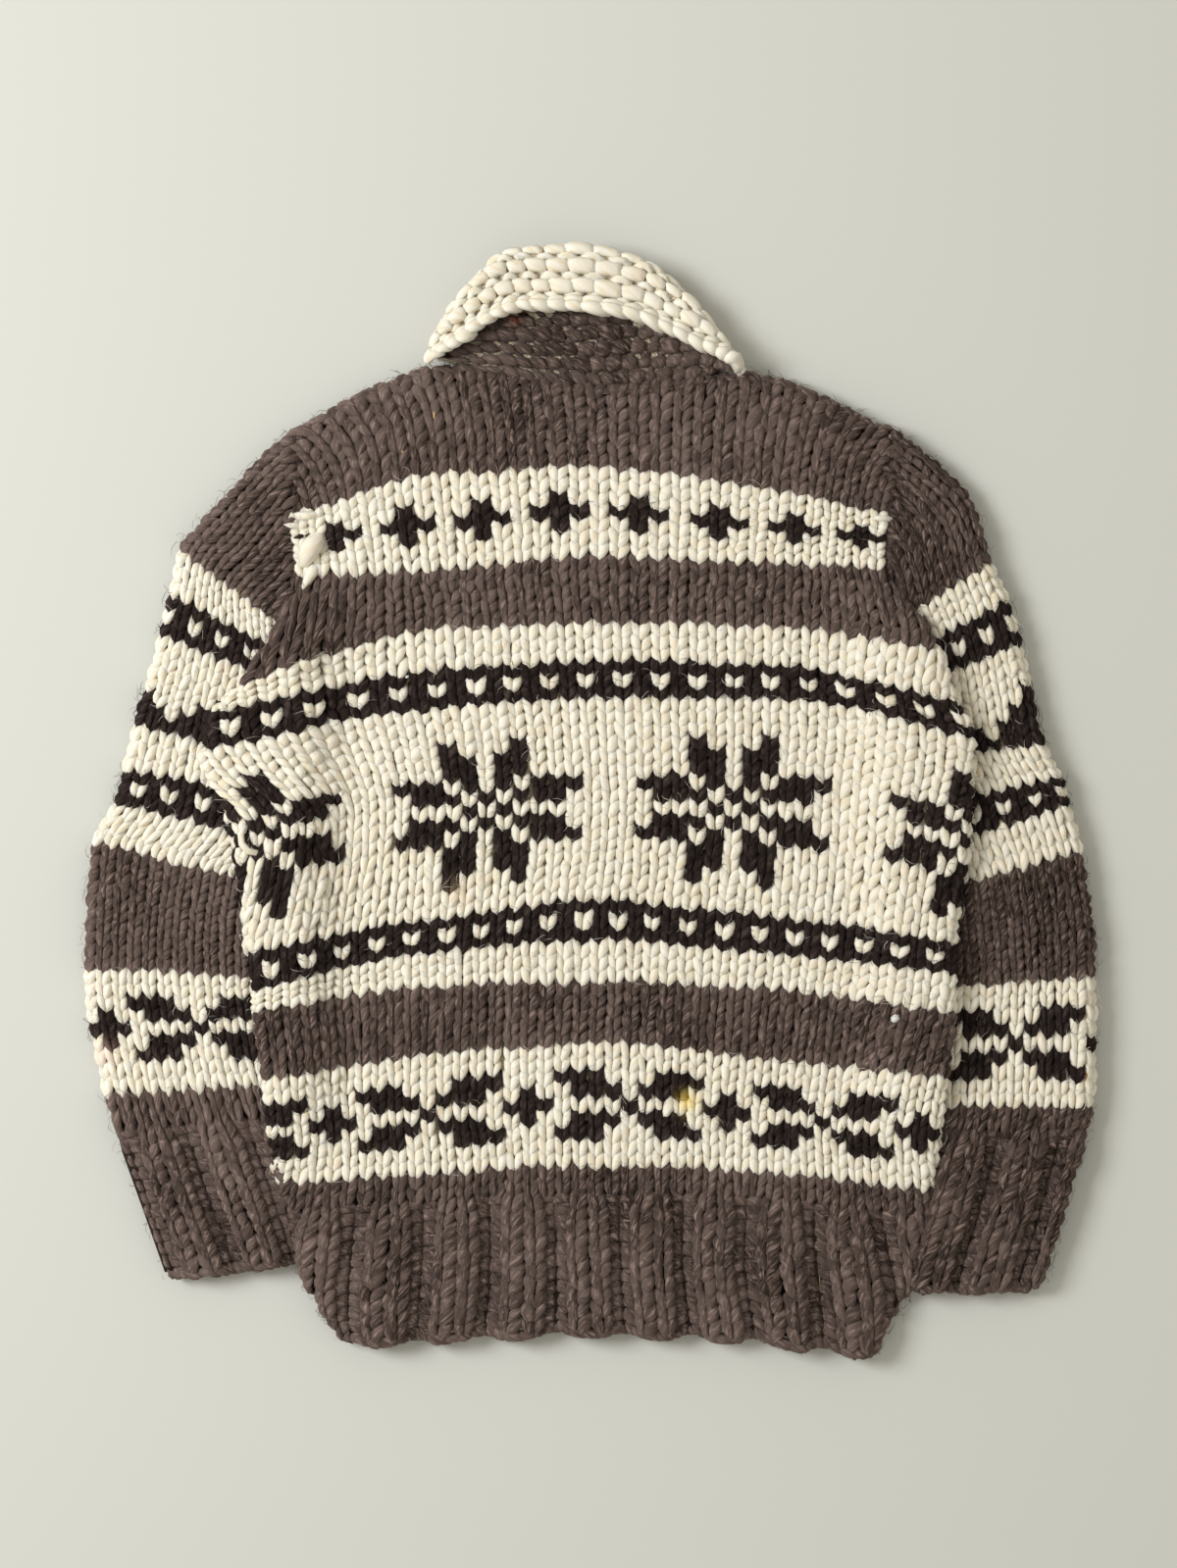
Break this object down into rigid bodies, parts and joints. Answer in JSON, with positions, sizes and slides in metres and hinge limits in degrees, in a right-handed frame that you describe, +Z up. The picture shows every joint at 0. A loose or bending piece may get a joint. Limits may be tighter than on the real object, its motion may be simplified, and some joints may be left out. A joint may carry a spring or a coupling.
{
  "type": "cowichan sweater",
  "caption": "Chunky hand-knit sweater in brown and cream wool with bands of hearts and stars, laid flat face down, back up.",
  "frame": {"origin": "bottom centre of the whole garment's box, on the surface that it lies on", "axes": "+Y from the hem to the collar, +X to the wearer's right as seen from behind, +Z up from the surface through the fronts and the back"},
  "size_m": [0.658, 0.7206, 0.0332],
  "materials": {
    "brown_wool": "heathered brown thick wool, matt and fuzzy",
    "cream_wool": "undyed cream thick wool, matt and fuzzy",
    "dark_wool": "blackish brown thick wool, matt and fuzzy"
  },
  "bodies": {
    "root": {"back": "brown_wool", "front_left": "brown_wool", "front_right": "brown_wool", "sleeve_left": "brown_wool", "sleeve_right": "brown_wool", "collar": "cream_wool"}
  },
  "joints": []
}
